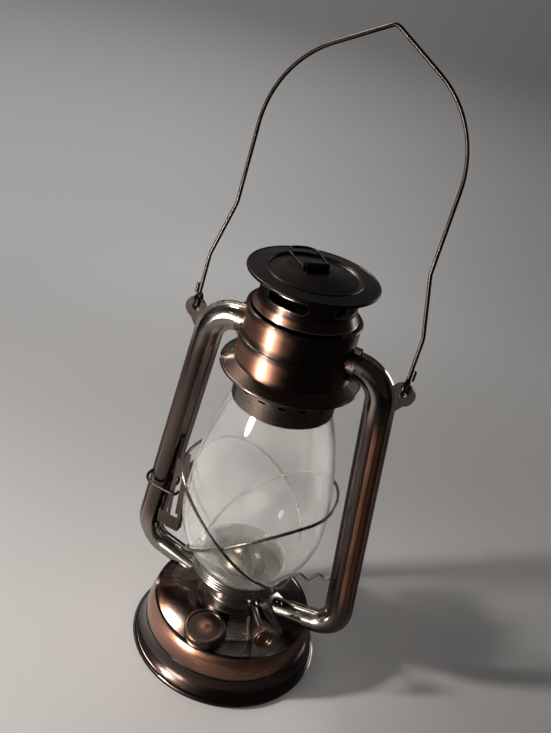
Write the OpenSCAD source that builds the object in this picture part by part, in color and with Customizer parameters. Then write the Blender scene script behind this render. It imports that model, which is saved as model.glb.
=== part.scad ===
// Hurricane lantern with a lifting globe carriage
// Millimetres, Z up, origin at the centre of the foot on the table, front is minus Y

/* [Font] */
// Diameter over the rolled bead at the foot
foot_d = 112; // [104:1:124]
// Diameter of the rolled bead
bead_d = 4; // [3:0.5:5]
// Depth of the flat that the bead stands on
foot_flat = 0.3; // [0.2:0.05:0.5]
// Radius of the crease between skirt and band
crease_r = 49.5; // [48:0.5:51]
// Height of the crease
crease_z = 14.5; // [12:0.5:17]
// Radius of the flare of the skirt
flare_r = 14; // [12:1:20]
// Radius of the seam at the top of the band
rim_r = 46.8; // [45:0.2:48]
// Height of the seam at the top of the band
rim_z = 30.8; // [28:0.2:34]
// Radius of the bulge of the band
bulge_r = 20; // [16:1:30]
// Height that the domed top stands above its edge
dome_rise = 6.4; // [5:0.2:8]
// Sheet thickness of the font and the hood
sheet = 0.8; // [0.6:0.1:1]

/* [Filler] */
// Distance of the filler from the axis
filler_y = 36.9; // [36:0.1:37.4]
// Sideways place of the filler
filler_x = 0.9; // [-3:0.1:3]
// Lean of the filler away from the axis
filler_lean = 10; // [6:1:12]
// Outer radius of the spout
spout_r = 7.5; // [7:0.1:7.8]
// Height of the spout above the font
spout_h = 5.2; // [4.6:0.2:6]
// Radius of the screw cap
filler_cap_r = 11.75; // [11:0.25:12]
// Depth of the dish in the screw cap
dish_d = 1.2; // [0.6:0.1:1.6]

/* [Burner] */
// Radius of the raised seat on the font
seat_r = 22; // [21:0.5:23]
// Height of the seat above the middle of the dome
seat_h = 2; // [1.6:0.2:3]
// Radius of the burner body
burner_r = 17; // [17:0.1:18]
// Height of the burner body
burner_h = 18.8; // [18:0.2:20]
// Radius of the deflector cone
cone_r = 14; // [13:0.25:15]
// Slope of the sockets that take the lower arms of the tubes
socket_slope = 37; // [34:1:40]
// Height of the deflector cone
cone_h = 14; // [12:0.5:18]
// Width of the flat wick
wick_w = 12; // [10:0.5:14]
// Thickness of the flat wick
wick_t = 2.2; // [1.6:0.1:2.4]
// Direction of the wick spindle seen from above
spindle_az = -53.4; // [-58:0.2:-48]
// Rise of the wick spindle toward the knob
spindle_rise = 7.8; // [4:0.2:9]
// Distance of the spindle from the axis
spindle_off = 8.2; // [7.8:0.1:8.6]
// Length of the spindle from the wheel to the knob
spindle_len = 43; // [40:0.5:46]
// Radius of the spindle
spindle_r = 1.2; // [1:0.1:1.5]
// Radius of the knob
knob_r = 6; // [5:0.25:7]
// Thickness of the knob
knob_t = 4; // [3:0.25:5]

/* [Globe] */
// Radius of the globe at its lower mouth
globe_low_r = 26.5; // [26:0.25:27]
// Radius of the globe at its belly
globe_belly_r = 41; // [40:0.25:42]
// Radius of the globe at its upper mouth
globe_top_r = 25.3; // [24.5:0.1:25.5]
// Height of the globe
globe_h = 119.6; // [114:0.2:126]
// Height of the straight neck at the lower mouth
globe_neck_h = 7.2; // [7:0.1:8]
// Height of the belly above the lower mouth
belly_h = 41.6; // [38:0.2:46]
// Thickness of the glass
glass_t = 1.8; // [1.4:0.1:2.4]

/* [Carriage] */
// Radius of the ridges round the globe plate
ridge_r = 0.95; // [0.8:0.05:1]
// Radius of the guard wires
guard_wire_r = 0.9; // [0.7:0.05:1]
// Gap between the belly of the globe and the inner guard hoop
hoop_gap = 1.2; // [0.8:0.1:2]
// Rise of the guard hoops from their low ends
hoop_rise = 59.5; // [52:0.5:62]
// Direction of the low end of the outer hoop
hoop_outer_az = 6; // [0:1:10]
// Width of the slot in the lift bracket
slot_w = 3.2; // [2.8:0.1:3.4]
// Length of the slot in the lift bracket
slot_l = 30; // [26:1:34]
// Height of the latch wire
latch_z = 91; // [86:1:96]

/* [Tubes] */
// Radius of the round body of the tubes
tube_r = 6.2; // [5.6:0.1:6.4]
// Width of the tubes over their seams
seam_w = 16; // [14.6:0.2:16.2]
// Thickness of the seams
seam_t = 1.6; // [1.2:0.1:2]
// Distance of the centre of the upper bend from the axis
bend_x = 34; // [32:0.5:36]
// Radius of the upper bend
bend_r = 16; // [14:0.5:18]
// Lean of the tubes
tube_lean = 5.7; // [5:0.1:7]
// Radius of the lower bend
elbow_r = 15; // [12:0.5:16]
// Slope of the lower arms
arm_slope = 12; // [8:0.5:14]
// Distance from the axis where the seams of the arms end
seam_end_x = 37.5; // [36:0.5:42]

/* [Hood] */
// Height from the top of the globe to the brim
brim_gap = 15.3; // [13:0.2:18]
// Radius of the brim
brim_r = 37.4; // [36:0.2:39]
// Drop of the brim
brim_h = 4; // [3:0.2:5]
// Radius of the lower tier
tier_low_r = 30.6; // [30:0.1:31.2]
// Height of the lower tier
tier_low_h = 15.7; // [14:0.1:17]
// Radius of the upper tier
tier_top_r = 29.4; // [29:0.1:29.8]
// Height of the upper tier
tier_top_h = 16.2; // [15.8:0.2:19]

/* [Chimney] */
// Outer radius of the collar over the globe
collar_r = 27.6; // [27.4:0.1:27.8]
// Height of the collar
collar_h = 16.5; // [14:0.5:18]
// Radius of the draught tube
draught_r = 21; // [19:0.5:22]
// Radius of the vent neck
neck_r = 25; // [24:0.25:25.5]
// Height of the vent neck above its flare
neck_h = 13.2; // [12:0.2:16]
// Height of the flare under the neck
skirt_h = 4.8; // [4:0.2:6]
// Height of the vent slots
vent_h = 5.6; // [4.6:0.2:6]
// Angle that each vent slot spans
vent_span = 58; // [45:1:66]
// Radius of the smoke cap
cap_r = 33.8; // [32:0.2:36]
// Rise of the middle of the smoke cap
cap_rise = 3.3; // [2.6:0.1:4]
// Length of the bridge on the cap
strap_l = 12; // [10:0.5:12.5]
// Direction of the bridge
strap_az = 45; // [30:1:60]
// Radius of the ring wire
ring_wire_r = 0.75; // [0.6:0.05:0.9]
// Length of the lift ring
ring_l = 23.5; // [20:0.5:25]
// Width of the lift ring
ring_w = 17.6; // [15:0.2:20]

/* [Bail] */
// Distance of the bail pivots from the middle
ear_x = 59.6; // [59.2:0.1:60.4]
// Radius of the ear tabs
ear_r = 6.2; // [5.8:0.1:6.4]
// Radius of the ear holes
ear_hole_r = 1.9; // [1.8:0.05:2]
// Radius of the bail wire
bail_wire_r = 1; // [0.8:0.05:1.1]
// Length of the straight foot of the bail
bail_foot = 26; // [22:1:32]
// Inward jog of the bail
bail_jog = 7.2; // [6.6:0.2:7.4]
// Slope of the jog
jog_slope = 13.4; // [11:0.2:16]
// Height of the bail from pivot to peak
bail_h = 156.5; // [150:0.5:164]
// Rise of the peak sides
peak_slope = 30; // [26:1:34]
// Backward lean of the bail as it stands
bail_lean = 9.5; // [6:0.5:12]

/* [Fits] */
// Gap between pieces that are fixed together
seat_gap = 0.05; // [0.03:0.01:0.08]
// Gap between pieces that slide or turn loosely
run_gap = 0.4; // [0.3:0.05:0.5]
// Radial play of shafts in their bores
shaft_play = 0.07; // [0.05:0.01:0.09]

/* [Hidden] */
$fn = 72;

// Step and lap where straights of a wire or tube meet its bends
wire_step = 0.03;
wire_lap = 0.15;
tube_step = 0.04;
tube_lap = 0.4;

// Heights that follow from the sizes above
seam_in = 1.4;
dome_edge_r = rim_r - seam_in;
dome_edge_z = rim_z - 0.8;
dome_top = dome_edge_z + dome_rise;
dome_ball_r = (dome_edge_r * dome_edge_r + dome_rise * dome_rise) / (2 * dome_rise);
seat_z = dome_top + seat_h;
burner_top = seat_z + burner_h;
plate_z = burner_top + 0.2;
plate_t = 0.8;
globe_z = plate_z + plate_t + 0.1;
belly_z = globe_z + belly_h;
globe_top = globe_z + globe_h;
shelf_z = globe_top + 0.1;
collar_drop = 3;
collar_z = shelf_z - collar_drop;
brim_z = globe_top + brim_gap;
tier_z = brim_z + brim_h - 0.9;
tier_step_z = tier_z + tier_low_h;
hood_top = tier_step_z + tier_top_h;
flare_z = hood_top + 1;
neck_z = flare_z + skirt_h;
cap_z = neck_z + neck_h;
cap_top = cap_z + cap_rise;
tube_z = tier_step_z - 1.5;
well_r = burner_r - 1.3;

// Glass outline as a short neck and two arcs that meet at the belly
bulge_h = belly_h - globe_neck_h;
low_arc_r = (pow(globe_belly_r - globe_low_r, 2) + pow(bulge_h, 2)) / (2 * (globe_belly_r - globe_low_r));
low_arc_x = globe_belly_r - low_arc_r;
top_arc_r = (pow(globe_belly_r - globe_top_r, 2) + pow(globe_h - belly_h, 2))
  / (2 * (globe_belly_r - globe_top_r));

function dome_at(r) = dome_top - dome_ball_r + sqrt(dome_ball_r * dome_ball_r - r * r);
// Height where the neck of the glass, or a line inset from it, turns into the lower arc
function neck_end(inset) = belly_z - sqrt(pow(low_arc_r - inset, 2) - pow(globe_low_r - inset - low_arc_x, 2));
function glass_at(z) = z < neck_end(0) ? globe_low_r
  : z < belly_z
  ? low_arc_x + sqrt(low_arc_r * low_arc_r - pow(belly_z - z, 2))
  : globe_belly_r - top_arc_r + sqrt(top_arc_r * top_arc_r - pow(belly_z - z, 2));
function unit(v) = v / norm(v);
function left_of(v) = [-v[1], v[0]];
function turn(a, b) = atan2(a[0] * b[1] - a[1] * b[0], a[0] * b[0] + a[1] * b[1]);
// Centre of the circle of radius r through p and q, on the left of the way from p to q
function arc_centre(p, q, r) = (p + q) / 2
  + sqrt(r * r - pow(norm(q - p) / 2, 2)) * left_of(unit(q - p));

// Wire of radius w in the XY plane through points p, with bend radius b at each point
// The straights are a hair thicker than the bends and reach a little way over them
module plane_wire(p, b, w, closed = false) {
  n = len(p);
  runs = closed ? n : n - 1;
  way = [for (i = [0 : runs - 1]) unit(p[(i + 1) % n] - p[i])];
  bend = [for (i = [0 : n - 1])
    !closed && (i == 0 || i == n - 1) ? 0 : turn(way[(i + n - 1) % n], way[i])];
  trim = [for (i = [0 : n - 1]) b[i] * tan(abs(bend[i]) / 2)];
  for (i = [0 : runs - 1]) {
    j = (i + 1) % n;
    before = trim[i] > 0 ? wire_lap : 0;
    after = trim[j] > 0 ? wire_lap : 0;
    start = p[i] + way[i] * (trim[i] - before);
    translate([start[0], start[1], 0])
      rotate([0, 0, atan2(way[i][1], way[i][0])])
        rotate([0, 90, 0])
          cylinder(r = w, h = norm(p[j] - p[i]) - trim[i] - trim[j] + before + after);
  }
  for (i = [0 : n - 1])
    if (trim[i] > 0) {
      side = bend[i] > 0 ? 1 : -1;
      along = way[(i + n - 1) % n];
      from = p[i] - along * trim[i];
      mid = from + side * b[i] * left_of(along);
      first = atan2(from[1] - mid[1], from[0] - mid[0]);
      translate([mid[0], mid[1], 0])
        rotate([0, 0, side > 0 ? first : first + bend[i]])
          rotate_extrude(angle = abs(bend[i]))
            translate([b[i], 0])
              circle(r = w - wire_step);
    }
}

// Turned ring between two radii
module ring(r_out, r_in, z, h) {
  translate([0, 0, z])
    difference() {
      cylinder(r = r_out, h = h);
      translate([0, 0, -1])
        cylinder(r = r_in, h = h + 2);
    }
}

// Font

module font_shell() {
  bead_r = bead_d / 2;
  foot = [foot_d / 2 - bead_r + 0.4, bead_d * 0.85];
  crease = [crease_r, crease_z];
  rim = [rim_r, rim_z - 1.2];
  skirt_c = arc_centre(crease, foot, flare_r);
  bulge_c = arc_centre(crease, rim, bulge_r);
  color([0.62, 0.4, 0.26])
    rotate_extrude() {
      intersection() {
        translate([foot_d / 2 - bead_r, bead_r - foot_flat])
          circle(r = bead_r);
        square([foot_d, bead_d]);
      }
      intersection() {
        translate(skirt_c)
          difference() {
            circle(r = flare_r + sheet);
            circle(r = flare_r);
          }
        translate([crease_r - 4, bead_r])
          square([skirt_c[0] - crease_r + 4, crease_z - bead_r + 0.1]);
      }
      intersection() {
        translate(bulge_c)
          difference() {
            circle(r = bulge_r);
            circle(r = bulge_r - sheet);
          }
        translate([bulge_c[0], crease_z - 0.1])
          square([bulge_r + 1, rim_z - 1 - crease_z]);
      }
      translate([rim_r - seam_in, rim_z - 1.6])
        square([seam_in + 0.3, 1.6]);
    }
}

module font_bottom() {
  color([0.35, 0.3, 0.26])
    translate([0, 0, crease_z + 0.7])
      cylinder(r = crease_r - sheet - 0.1, h = sheet);
}

module filler_frame() {
  translate([filler_x, -filler_y, dome_at(filler_y)])
    rotate([filler_lean, 0, 0])
      children();
}

module font_top() {
  color([0.3, 0.27, 0.24])
    difference() {
      rotate_extrude() {
        intersection() {
          translate([0, dome_top - dome_ball_r])
            difference() {
              circle(r = dome_ball_r, $fn = 360);
              circle(r = dome_ball_r - sheet, $fn = 360);
            }
          translate([well_r, dome_edge_z - 3])
            square([dome_edge_r - seat_gap - well_r, dome_rise + 8]);
        }
      }
      filler_frame()
        translate([0, 0, -8])
          cylinder(r = spout_r + seat_gap, h = 16);
    }
}

module filler_neck() {
  color([0.45, 0.36, 0.28])
    filler_frame() {
      ring(spout_r, spout_r - 1.2, -2.6, spout_h + 2.6);
      for (z = [1.6, 3.4])
        translate([0, 0, z])
          rotate_extrude()
            translate([spout_r - 0.2, 0])
              circle(r = 0.45);
    }
}

module filler_gasket() {
  color([0.12, 0.12, 0.12])
    filler_frame()
      ring(spout_r + 0.2, spout_r - 2.4, spout_h + seat_gap, 0.8);
}

module filler_cap() {
  under = spout_h + 0.8 + 2 * seat_gap;
  bore = spout_r + 0.25 + run_gap;
  lip = 1.1;
  foot = 0.9;
  top = under + 0.9 + dish_d;
  color([0.33, 0.25, 0.2])
    filler_frame()
      rotate_extrude() {
        polygon([
          [0, under],
          [bore, under],
          [bore, foot],
          [filler_cap_r - 0.7, foot],
          [filler_cap_r - 0.2, foot + 0.8],
          [filler_cap_r - 0.9, foot + 1.6],
          [filler_cap_r - 0.9, top - 2.2],
          [filler_cap_r - 0.2, top - lip],
          [filler_cap_r - 2 * lip, top - lip],
          [filler_cap_r - 2 * lip - 0.8, under + 0.9],
          [2.2, under + 0.9],
          [0, under + 1.3]
        ]);
        translate([filler_cap_r - lip, top - lip])
          circle(r = lip);
      }
}

// Burner

// Outline on top of the dome, lifted off it by a gap
module on_dome(gap) {
  difference() {
    children();
    translate([0, dome_top - dome_ball_r])
      circle(r = dome_ball_r + gap, $fn = 360);
  }
}

// Side view of the sockets that the tubes run into, reaching in to a given radius
socket_r = 39;
socket_z = dome_edge_z + 5.4;
module socket_outline(inner, gap) {
  top = socket_z + (socket_r - seat_r - 1) * tan(socket_slope);
  polygon([
    [inner, dome_edge_z - gap],
    [inner, top + gap],
    [seat_r + 1 + gap, top + gap],
    [socket_r + gap, socket_z + gap],
    [socket_r + gap, dome_edge_z - gap]
  ]);
}

// Bore along the lower arm of a tube
module arm_bore(from, len, r) {
  translate([from, 0, arm_end[1] - (arm_end[0] - from) * tan(arm_slope)])
    rotate([0, 90 - arm_slope, 0])
      cylinder(r = r, h = len);
}

// Ring seat for the burner with a sloping apron under the spindle and a socket on each side
module burner_collar() {
  apron_r = filler_y - 1;
  color([0.34, 0.31, 0.28])
    difference() {
      union() {
        rotate_extrude()
          on_dome(seat_gap)
            translate([well_r, dome_edge_z])
              square([seat_r - well_r, seat_z - dome_edge_z]);
        rotate([0, 0, spindle_az - 16])
          rotate_extrude(angle = 46)
            on_dome(3 * seat_gap)
              polygon([
                [seat_r - 1, dome_edge_z],
                [seat_r - 1, seat_z - 0.3],
                [seat_r + 1, seat_z - 0.3],
                [apron_r, dome_at(apron_r) + 0.6],
                [apron_r, dome_edge_z]
              ]);
        for (side = [0, 180])
          rotate([0, 0, side - 14])
            rotate_extrude(angle = 28)
              on_dome(4 * seat_gap)
                socket_outline(burner_r + 0.9, 0);
      }
      for (side = [0, 180])
        rotate([0, 0, side])
          arm_bore(burner_r - 5, 40, tube_r - 1);
      filler_frame()
        translate([0, 0, -10])
          cylinder(r = filler_cap_r + run_gap, h = 30);
    }
}

// The line of the wick spindle, starting at the wheel
wheel_z = seat_z + 1.5;
wheel_c = [-spindle_off * sin(spindle_az), spindle_off * cos(spindle_az)];
wheel_r = spindle_off - wick_t / 2 - 0.25;

module bore_line() {
  translate([wheel_c[0], wheel_c[1], wheel_z])
    rotate([0, 90 - spindle_rise, spindle_az])
      children();
}

module burner_body() {
  color([0.3, 0.27, 0.24])
    difference() {
      union() {
        ring(burner_r, burner_r - sheet, seat_z + seat_gap, burner_h - seat_gap);
        ring(burner_r, 2, burner_top - sheet, sheet);
        translate([0, 0, seat_z + 2.4])
          rotate_extrude()
            translate([burner_r - 0.1, 0])
              circle(r = 0.7);
      }
      rotate([0, 0, spindle_az])
        translate([0, 0, burner_top])
          cube([wick_w + 2.6, wick_t + 2.6, 6], center = true);
      for (i = [0 : 9])
        rotate([0, 0, spindle_az + 18 + i * 36])
          translate([11, 0, burner_top - 3])
            cylinder(r = 1.3, h = 6);
      bore_line()
        cylinder(r = bush_r + seat_gap, h = 40);
      for (side = [0, 180])
        rotate([0, 0, side])
          arm_bore(burner_r - 6, 12, tube_r / 2);
    }
}

bush_r = spindle_r + 1.5;

module spindle_bush() {
  color([0.55, 0.42, 0.25])
    bore_line()
      ring(bush_r, spindle_r + shaft_play, 13.2, 6.6);
}

module burner_cone() {
  ball = (cone_r * cone_r + cone_h * cone_h) / (2 * cone_h);
  mid = burner_top + seat_gap + cone_h - ball;
  color([0.5, 0.4, 0.27])
    difference() {
      rotate_extrude()
        intersection() {
          translate([0, mid])
            difference() {
              circle(r = ball);
              circle(r = ball - 0.7);
            }
          translate([0, burner_top + seat_gap])
            square([cone_r, cone_h + 1]);
        }
      rotate([0, 0, spindle_az])
        translate([0, 0, burner_top + cone_h])
          cube([wick_w + 3, wick_t + 3, 11], center = true);
    }
}

module wick_tube() {
  low = crease_z + 10;
  top = burner_top + 8;
  color([0.5, 0.43, 0.3])
    difference() {
      rotate([0, 0, spindle_az])
        translate([0, 0, (low + top) / 2])
          difference() {
            cube([wick_w + 2.4, wick_t + 2.4, top - low], center = true);
            cube([wick_w + 0.8, wick_t + 0.8, top - low + 2], center = true);
          }
      bore_line()
        translate([0, 0, -3.4])
          cylinder(r = wheel_r + run_gap, h = 6.8);
    }
}

module wick() {
  low = crease_z + 9;
  top = burner_top + 9.5;
  color([0.86, 0.82, 0.72])
    rotate([0, 0, spindle_az])
      translate([0, 0, (low + top) / 2])
        cube([wick_w, wick_t, top - low], center = true);
}

module wick_wheel() {
  teeth = 14;
  color([0.6, 0.48, 0.28])
    bore_line()
      translate([0, 0, -2.4])
        linear_extrude(height = 4.8)
          difference() {
            circle(r = wheel_r);
            for (i = [0 : teeth - 1])
              rotate([0, 0, (i + 0.5) * 360 / teeth])
                translate([wheel_r + 0.3, 0])
                  circle(r = 1);
            circle(r = spindle_r + seat_gap);
          }
}

module wick_spindle() {
  color([0.5, 0.47, 0.43])
    bore_line() {
      translate([0, 0, -3])
        cylinder(r = spindle_r, h = spindle_len + 3);
      translate([0, 0, 21])
        cylinder(r = spindle_r + 0.4, h = spindle_len - 21.5);
    }
}

module wick_knob() {
  color([0.4, 0.3, 0.22])
    bore_line()
      translate([0, 0, spindle_len - 0.2])
        difference() {
          rotate_extrude()
            union() {
              square([knob_r - 0.8, knob_t]);
              translate([0, 0.8])
                square([knob_r, knob_t - 1.6]);
              for (r = [knob_r - 0.8, knob_r - 2.8])
                translate([r, knob_t - 0.1])
                  circle(r = 0.5);
              translate([knob_r - 0.8, 0.8])
                circle(r = 0.8);
            }
          for (i = [0 : 19])
            rotate([0, 0, i * 18])
              translate([knob_r + 0.45, 0, -1])
                cylinder(r = 0.75, h = knob_t + 0.2);
          translate([0, 0, -1])
            cylinder(r = spindle_r + 0.4 + seat_gap, h = 1.3);
        }
}

// Globe carriage

ridge_mid = globe_low_r + 0.35 + ridge_r;
ridges = [0.3, 2.2, 4.1, 6];

module globe_plate() {
  hole_r = cone_r + run_gap;
  span = globe_low_r - glass_t - 2.4 - hole_r;
  color([0.4, 0.37, 0.33])
    difference() {
      rotate_extrude() {
        translate([hole_r, plate_z])
          square([globe_low_r + 1.4 - hole_r, plate_t]);
        translate([hole_r, plate_z])
          square([0.8, 2]);
        for (z = ridges)
          translate([ridge_mid, globe_z + z])
            circle(r = ridge_r);
        translate([ridge_mid - 0.3, globe_z + ridges[0]])
          square([0.6, ridges[3] - ridges[0]]);
      }
      for (row = [0, 1, 2])
        for (i = [0 : 19 + 4 * row])
          rotate([0, 0, i * 360 / (20 + 4 * row)])
            translate([hole_r + 2.2 + row * span / 2, 0, plate_z - 1])
              cylinder(r = 0.7, h = 3);
    }
}

module globe_half(inset, low, top) {
  intersection() {
    union() {
      translate([0, low])
        square([globe_low_r - inset, neck_end(inset) - low]);
      intersection() {
        translate([low_arc_x, belly_z])
          circle(r = low_arc_r - inset, $fn = 360);
        translate([0, neck_end(inset) - 1])
          square([globe_belly_r + 1, belly_z - neck_end(inset) + 1]);
      }
      intersection() {
        translate([globe_belly_r - top_arc_r, belly_z])
          circle(r = top_arc_r - inset, $fn = 720);
        translate([0, belly_z])
          square([globe_belly_r + 1, top - belly_z]);
      }
    }
    translate([0, low])
      square([globe_belly_r + 1, top - low]);
  }
}

module globe() {
  color([0.8, 0.86, 0.88, 0.35])
    rotate_extrude()
      difference() {
        globe_half(0, globe_z, globe_top);
        globe_half(glass_t, globe_z - 1, globe_top + 1);
      }
}

hoop_low_z = globe_z + ridges[2];
hoop_low_r = ridge_mid + ridge_r + guard_wire_r + seat_gap;
hoop_inner_r = globe_belly_r + hoop_gap + guard_wire_r;
hoop_outer_r = hoop_inner_r + 2 * guard_wire_r + 0.2;

function hoop_z(t) = hoop_low_z + hoop_rise * pow(sin(min(90, 0.59 * t)), 2);
function hoop_r(t, far) = hoop_low_r + (far - hoop_low_r) * pow(sin(min(90, t)), 2);
function hoop_point(a, low_az, far) = let (t = a > 180 ? 360 - a : a)
  [hoop_r(t, far) * cos(a + low_az), hoop_r(t, far) * sin(a + low_az), hoop_z(t)];

// Wire swept along points, as a closed hoop or with flat ends, keeping a given direction to its side
module swept_wire(p, w, side, closed) {
  sides = 12;
  n = len(p);
  pts = [for (i = [0 : n - 1])
    let (
      before = closed ? p[(i + n - 1) % n] : p[max(0, i - 1)],
      after = closed ? p[(i + 1) % n] : p[min(n - 1, i + 1)],
      t = unit(after - before),
      u = unit(cross(side, t)),
      v = cross(t, u)
    )
    for (k = [0 : sides - 1])
      p[i] + w * (cos(k * 360 / sides) * u + sin(k * 360 / sides) * v)];
  walls = [for (i = [0 : closed ? n - 1 : n - 2])
    for (k = [0 : sides - 1])
      [i * sides + k, i * sides + (k + 1) % sides,
       ((i + 1) % n) * sides + (k + 1) % sides, ((i + 1) % n) * sides + k]];
  ends = closed ? [] : [
    [for (k = [0 : sides - 1]) sides - 1 - k],
    [for (k = [0 : sides - 1]) (n - 1) * sides + k]
  ];
  polyhedron(points = pts, faces = concat(walls, ends), convexity = 8);
}

// Points with each inner corner rounded off over a given length
function rounded(p, cut) = concat(
  [p[0]],
  [for (i = [1 : len(p) - 2])
    let (a = p[i] + cut * unit(p[i - 1] - p[i]), b = p[i] + cut * unit(p[i + 1] - p[i]))
    for (f = [0 : 0.25 : 1])
      (1 - f) * (1 - f) * a + 2 * f * (1 - f) * p[i] + f * f * b],
  [p[len(p) - 1]]
);

module hoop(low_az, far) {
  rings = 96;
  swept_wire([for (i = [0 : rings - 1]) hoop_point(i * 360 / rings, low_az, far)],
    guard_wire_r, [0, 0, 1], true);
}

module guard_hoop_outer() {
  color([0.2, 0.17, 0.15])
    hoop(hoop_outer_az, hoop_outer_r);
}

module guard_hoop_inner() {
  color([0.2, 0.17, 0.15])
    hoop(180, hoop_inner_r);
}

// Lift bracket in front of the left tube
seam_rise = 0.35;
bracket_y = -(tube_r + seam_rise + run_gap);
bracket_t = 0.8;
bracket_gap = 0.6;
bracket_x = -globe_belly_r - bracket_gap;
bracket_w = 8.6;
bracket_lip = 5.2;
strut_w = 4.4;
tab_w = 5.4;
tab_h = 9;
tab_rise = 1;
slot_edge = 3.4;
slot_hook = 1.8;
slot_x = bracket_x - slot_edge - slot_w;
slot_z = latch_z - slot_l * 0.57;

module lift_bracket() {
  foot_z = slot_z - slot_l * 0.3;
  top_z = slot_z + slot_l * 1.37;
  hoop_x = -sqrt(hoop_outer_r * hoop_outer_r - bracket_y * bracket_y);
  hoop_turn = 180 - abs(atan2(bracket_y, hoop_x) + 180 - hoop_outer_az);
  color([0.33, 0.28, 0.24]) {
    difference() {
      translate([0, bracket_y, 0])
        rotate([90, 0, 0])
          linear_extrude(height = bracket_t) {
            translate([bracket_x - bracket_w, foot_z])
              square([bracket_w, top_z - foot_z]);
            translate([bracket_x - bracket_w - tab_w, foot_z + tab_rise])
              square([tab_w + 0.2, tab_h]);
            translate([hoop_x - strut_w / 2, top_z - 0.1])
              square([strut_w, hoop_z(hoop_turn) - guard_wire_r - seat_gap - top_z + 0.1]);
          }
      translate([slot_x, bracket_y - bracket_t - 1, slot_z])
        cube([slot_w, bracket_t + 2, slot_l]);
      translate([slot_x, bracket_y - bracket_t - 1, slot_z])
        cube([slot_w + slot_hook, bracket_t + 2, slot_w]);
    }
    translate([bracket_x - bracket_t, bracket_y - bracket_t, foot_z])
      cube([bracket_t, bracket_lip, top_z - foot_z]);
  }
}

module latch_wire() {
  around = seam_w / 2 / cos(tube_lean) + guard_wire_r + 0.15;
  tube_at = bend_out[0] + (bend_out[1] - latch_z) * tan(tube_lean);
  end_x = slot_x + slot_w / 2;
  corner = around - 0.6;
  color([0.25, 0.22, 0.2])
    translate([0, 0, latch_z])
      plane_wire(
        [
          [around - tube_at, -3],
          [around - tube_at, around],
          [-around - tube_at, around],
          [-around - tube_at, -around],
          [end_x, -around],
          [end_x, bracket_y + 1.6]
        ],
        [0, corner, corner, corner, 1.6, 0],
        guard_wire_r
      );
}

// Kinked wire from the globe plate to the right tube
module guide_wire() {
  w = 0.75;
  y = 2.2;
  reach = bend_out[0] + (bend_out[1] - latch_z) * tan(tube_lean) - seam_w / 2;
  foot_x = sqrt(pow(ridge_mid + ridge_r, 2) - y * y) + w + seat_gap;
  // The kinks stand clear of the glass as far as the belly stands out from the neck
  belly_step = globe_belly_r - globe_low_r;
  p = [
    [foot_x, hoop_low_z + 1.7],
    [foot_x, hoop_low_z + 4.2],
    [foot_x + belly_step - 7.6, hoop_low_z + 12.2],
    [foot_x + belly_step - 2.4, hoop_low_z + 9.9],
    [reach - 5.7, hoop_low_z + 18.2],
    [reach - 2.8, hoop_low_z + 17],
    [reach + 1.1, hoop_low_z + 17.8]
  ];
  color([0.2, 0.17, 0.15])
    swept_wire([for (q = rounded(p, 1.2)) [q[0], -y, q[1]]], w, [0, 1, 0], false);
}

// Tubes

arm_end = [burner_r, dome_top + 1.7];
bend_mid = [bend_x, tube_z - bend_r];
bend_out = bend_mid + bend_r * [cos(tube_lean), sin(tube_lean)];
tube_run = (bend_out[1] - elbow_r * (sin(tube_lean) + cos(arm_slope))
  - (bend_out[0] - elbow_r * cos(tube_lean) + elbow_r * sin(arm_slope) - arm_end[0]) * tan(arm_slope)
  - arm_end[1]) / (cos(tube_lean) + sin(tube_lean) * tan(arm_slope));
elbow_in = bend_out + tube_run * [sin(tube_lean), -cos(tube_lean)];
elbow_mid = elbow_in - elbow_r * [cos(tube_lean), sin(tube_lean)];
elbow_out = elbow_mid + elbow_r * [sin(arm_slope), -cos(arm_slope)];

module tube_section(grow) {
  circle(r = tube_r + grow);
  intersection() {
    circle(r = tube_r + seam_rise + grow);
    square([tube_r * 1.1, 4 * tube_r], center = true);
  }
  square([seam_w + 2 * grow, seam_t + 2 * grow], center = true);
}

// Straight length that laps over the bends at its ends
module tube_straight(p, q, before, after) {
  way = unit(q - p);
  start = p - way * before;
  translate([start[0], 0, start[1]])
    rotate([0, atan2(way[0], way[1]), 0])
      linear_extrude(height = norm(q - p) + before + after)
        children();
}

module tube_bend(mid, r, first, last) {
  translate([mid[0], 0, mid[1]])
    rotate([90, 0, 0])
      rotate([0, 0, first])
        rotate_extrude(angle = last - first)
          translate([r, 0])
            children();
}

arm_way = [-cos(arm_slope), -sin(arm_slope)];
seam_stop = elbow_out + arm_way * (elbow_out[0] - seam_end_x) / cos(arm_slope);
arm_stop = elbow_out + arm_way * (elbow_out[0] - arm_end[0] + 6) / cos(arm_slope);

// The straights and bends of a tube, with seams or as the bare bore
module tube_straights(hood_end) {
  tube_straight([hood_end, tube_z], [bend_x, tube_z], 0, tube_lap)
    children();
  tube_straight(bend_out, elbow_in, tube_lap, tube_lap)
    children();
  tube_straight(elbow_out, seam_stop, tube_lap, 0)
    children();
}

module tube_bends() {
  tube_bend(bend_mid, bend_r, tube_lean, 90)
    children();
  tube_bend(elbow_mid, elbow_r, arm_slope - 90, tube_lean)
    children();
}

module hood_outline(grow) {
  low = tier_z - 10;
  translate([0, 0, low]) {
    cylinder(r = tier_low_r + grow, h = tier_step_z + grow - low);
    cylinder(r = tier_top_r + grow, h = hood_top + 20 - low);
  }
}

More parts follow.
